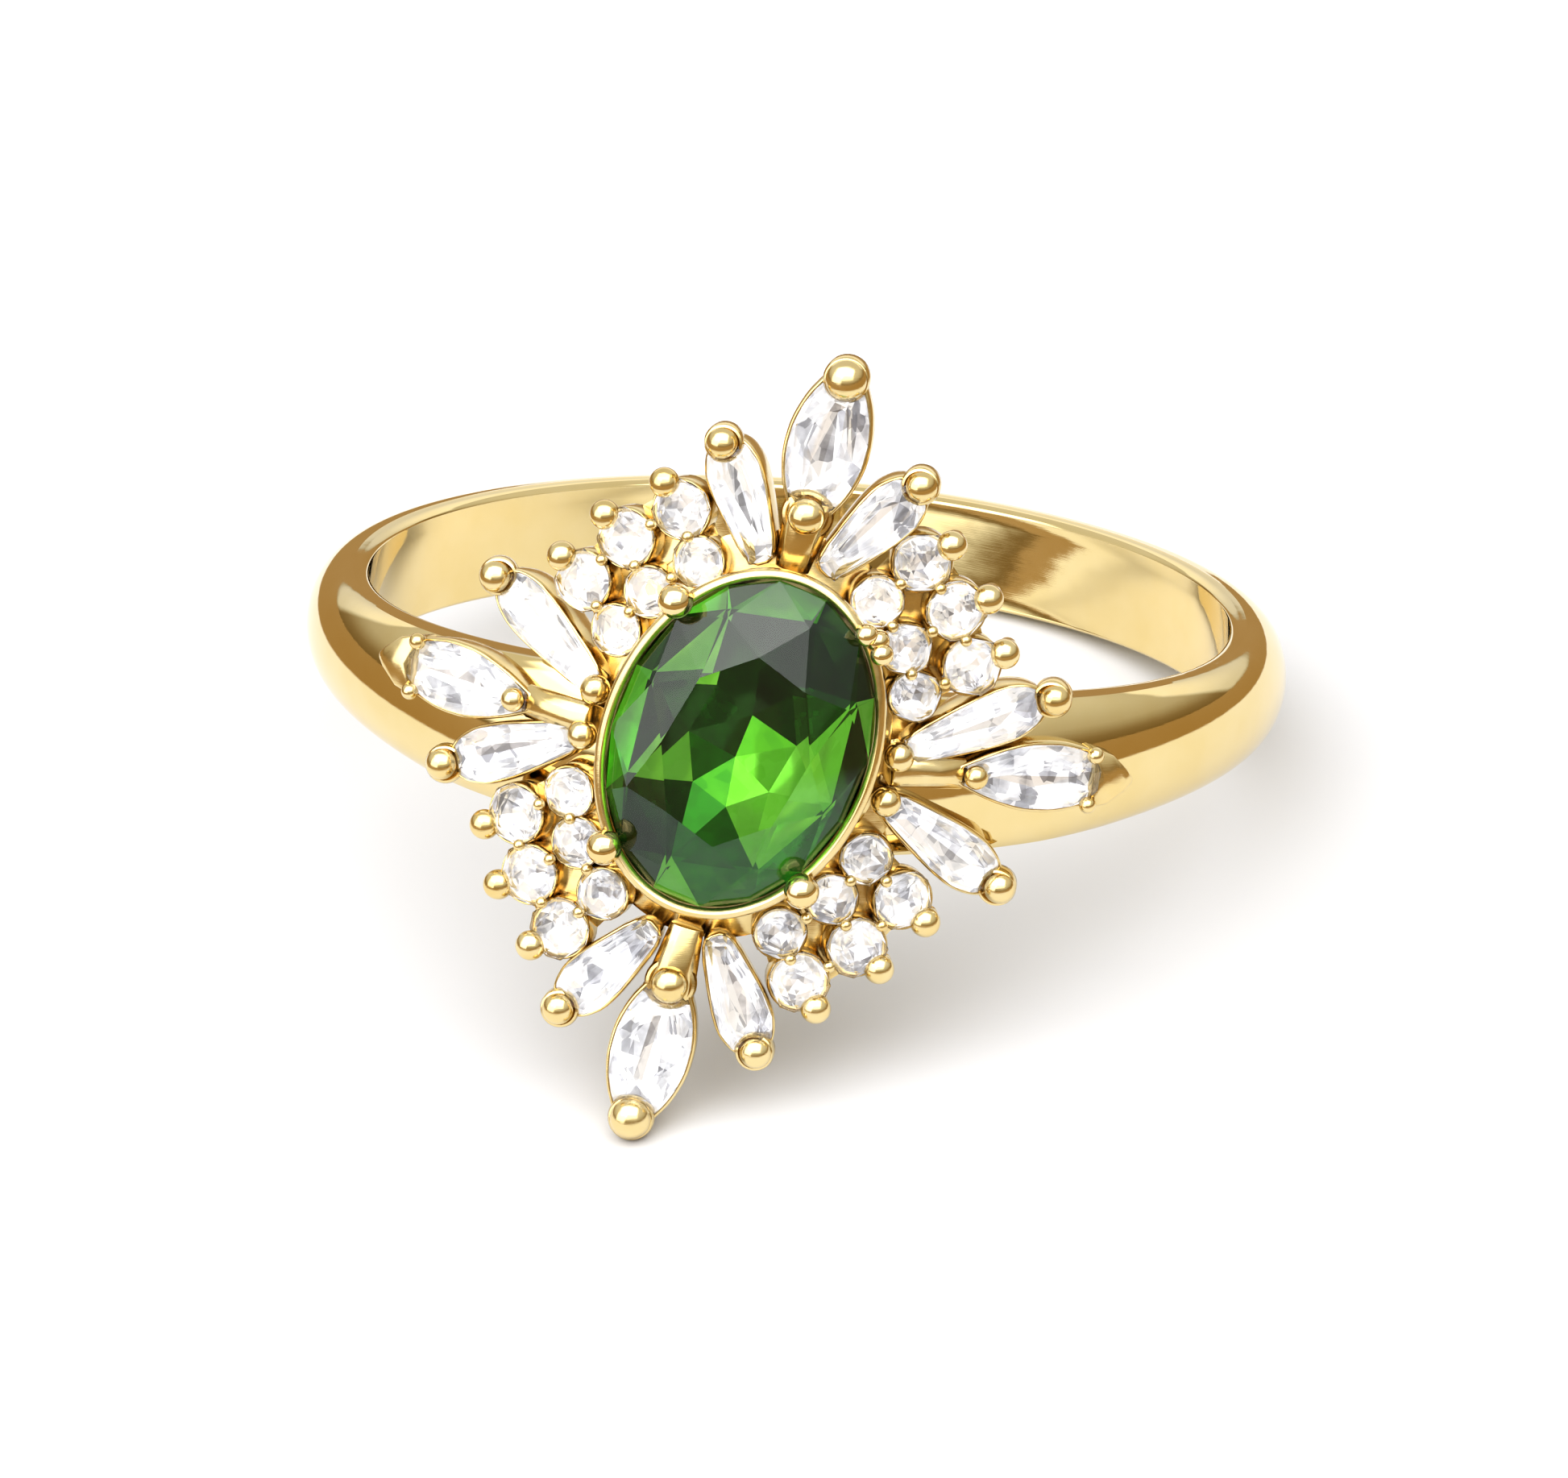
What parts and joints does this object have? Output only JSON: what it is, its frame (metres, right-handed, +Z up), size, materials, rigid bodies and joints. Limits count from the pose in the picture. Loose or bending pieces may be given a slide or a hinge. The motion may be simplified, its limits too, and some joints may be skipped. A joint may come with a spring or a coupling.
{
  "type": "cocktail ring",
  "caption": "Yellow gold cocktail ring with an oval green stone set in a starburst of clear stones, worn on a finger.",
  "frame": {"origin": "middle of the bounding box's base, on the table that the ring lies on", "axes": "+Z up from the table, nearly along the finger; -Y from the finger hole towards the head, which faces the viewer; +X to the viewer's right"},
  "size_m": [0.0196, 0.022, 0.0147],
  "materials": {
    "yellow_gold": "polished 14 carat yellow gold",
    "green_stone": "faceted, polished, transparent green",
    "clear_stone": "faceted, polished, colourless"
  },
  "bodies": {
    "root": {"baguette_ene": "clear_stone", "baguette_ese": "clear_stone", "baguette_nne": "clear_stone", "baguette_nnw": "clear_stone", "baguette_seat_ene": "yellow_gold", "baguette_seat_ese": "yellow_gold", "baguette_seat_nne": "yellow_gold", "baguette_seat_nnw": "yellow_gold", "baguette_seat_sse": "yellow_gold", "baguette_seat_ssw": "yellow_gold", "baguette_seat_wnw": "yellow_gold", "baguette_seat_wsw": "yellow_gold", "baguette_sse": "clear_stone", "baguette_ssw": "clear_stone", "baguette_wnw": "clear_stone", "baguette_wsw": "clear_stone", "centre_claw_ne": "yellow_gold", "centre_claw_nw": "yellow_gold", "centre_claw_se": "yellow_gold", "centre_claw_sw": "yellow_gold", "centre_collet": "yellow_gold", "centre_stone": "green_stone", "gallery": "yellow_gold", "marquise_e": "clear_stone", "marquise_n": "clear_stone", "marquise_s": "clear_stone", "marquise_seat_e": "yellow_gold", "marquise_seat_n": "yellow_gold", "marquise_seat_s": "yellow_gold", "marquise_seat_w": "yellow_gold", "marquise_w": "clear_stone", "round_plate_ne": "yellow_gold", "round_plate_nw": "yellow_gold", "round_plate_se": "yellow_gold", "round_plate_sw": "yellow_gold", "round_stone_ne_1": "clear_stone", "round_stone_ne_2": "clear_stone", "round_stone_ne_3": "clear_stone", "round_stone_ne_4": "clear_stone", "round_stone_ne_5": "clear_stone", "round_stone_ne_6": "clear_stone", "round_stone_nw_1": "clear_stone", "round_stone_nw_2": "clear_stone", "round_stone_nw_3": "clear_stone", "round_stone_nw_4": "clear_stone", "round_stone_nw_5": "clear_stone", "round_stone_nw_6": "clear_stone", "round_stone_se_1": "clear_stone", "round_stone_se_2": "clear_stone", "round_stone_se_3": "clear_stone", "round_stone_se_4": "clear_stone", "round_stone_se_5": "clear_stone", "round_stone_se_6": "clear_stone", "round_stone_sw_1": "clear_stone", "round_stone_sw_2": "clear_stone", "round_stone_sw_3": "clear_stone", "round_stone_sw_4": "clear_stone", "round_stone_sw_5": "clear_stone", "round_stone_sw_6": "clear_stone", "shank": "yellow_gold"}
  },
  "joints": []
}
